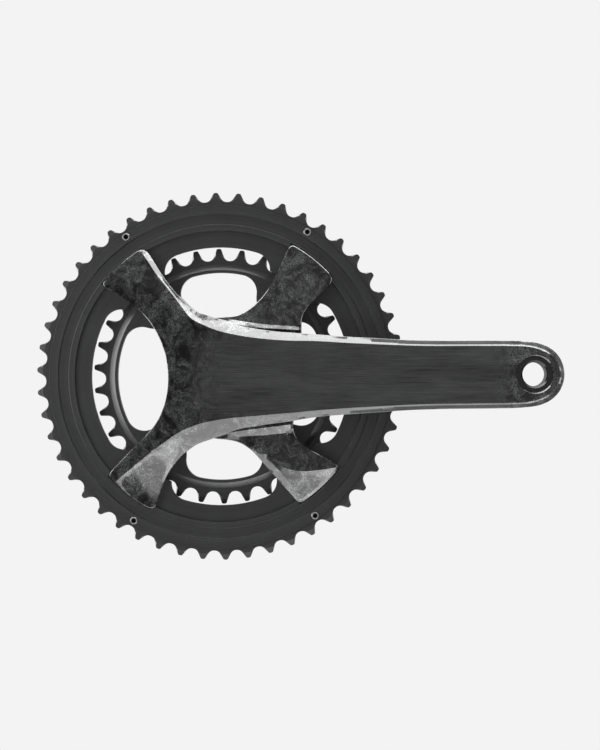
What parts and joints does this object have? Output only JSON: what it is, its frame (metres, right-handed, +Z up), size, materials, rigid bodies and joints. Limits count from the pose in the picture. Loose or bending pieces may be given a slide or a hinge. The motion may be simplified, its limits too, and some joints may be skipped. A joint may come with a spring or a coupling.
{
  "type": "bicycle crankset",
  "caption": "Drive-side bicycle crankset: carbon crank arm with spider, two toothed chainrings, hollow axle half with face spline and a sealed ball bearing.",
  "frame": {"origin": "on the axle's line, in the bike's centre plane, where the two axle halves meet: the mouth of the joining bolt's thread", "axes": "+X forward along the crank arm, +Y towards the bike's far side along the axle, +Z up"},
  "size_m": [0.2917, 0.0746, 0.2046],
  "materials": {
    "carbon": "gloss clear coat over fibre",
    "raw_aluminium": "machined",
    "axle_steel": "ground",
    "black_insert": "black anodised, satin",
    "black_anodised": "black anodised, machined",
    "black_anodised_inner": "black anodised, machined",
    "black_bolts": "black anodised, satin",
    "bright_steel": "polished",
    "bearing_steel": "ground and polished",
    "cage_plastic": "matte",
    "seal_rubber": "matte",
    "clip_steel": "sprung steel, oiled"
  },
  "bodies": {
    "bearing_housing_side": {"bearing_outer_race": "bearing_steel", "bearing_seal_outer": "seal_rubber", "bearing_seal_inner": "seal_rubber"},
    "crank": {"carbon_arm": "carbon", "axle_sleeve": "raw_aluminium", "half_axle": "axle_steel", "pedal_insert": "black_insert", "big_chainring": "black_anodised", "small_chainring": "black_anodised_inner", "big_ring_bolts": "black_bolts", "small_ring_bolts": "black_bolts", "big_ring_inserts": "raw_aluminium", "small_ring_inserts": "raw_aluminium", "shift_pins": "bright_steel", "chain_guard_pin": "black_insert", "bearing_inner_race": "bearing_steel", "bearing_spacer": "axle_steel", "dust_shield": "cage_plastic", "bearing_clip": "clip_steel"},
    "ball_cage": {"bearing_balls": "bearing_steel", "bearing_cage": "cage_plastic"}
  },
  "joints": [
    {"name": "crank_spin", "type": "hinge", "parent": "bearing_housing_side", "child": "crank", "pos_m": [0, -0.038, 0], "axis": [0, 1, 0], "continuous": true},
    {"name": "cage_spin", "type": "hinge", "parent": "bearing_housing_side", "child": "ball_cage", "pos_m": [0, -0.038, 0], "axis": [0, 1, 0], "continuous": true}
  ],
  "couplings": [
    {"joint": "cage_spin", "follows": "crank_spin", "ratio": 0.4488}
  ]
}
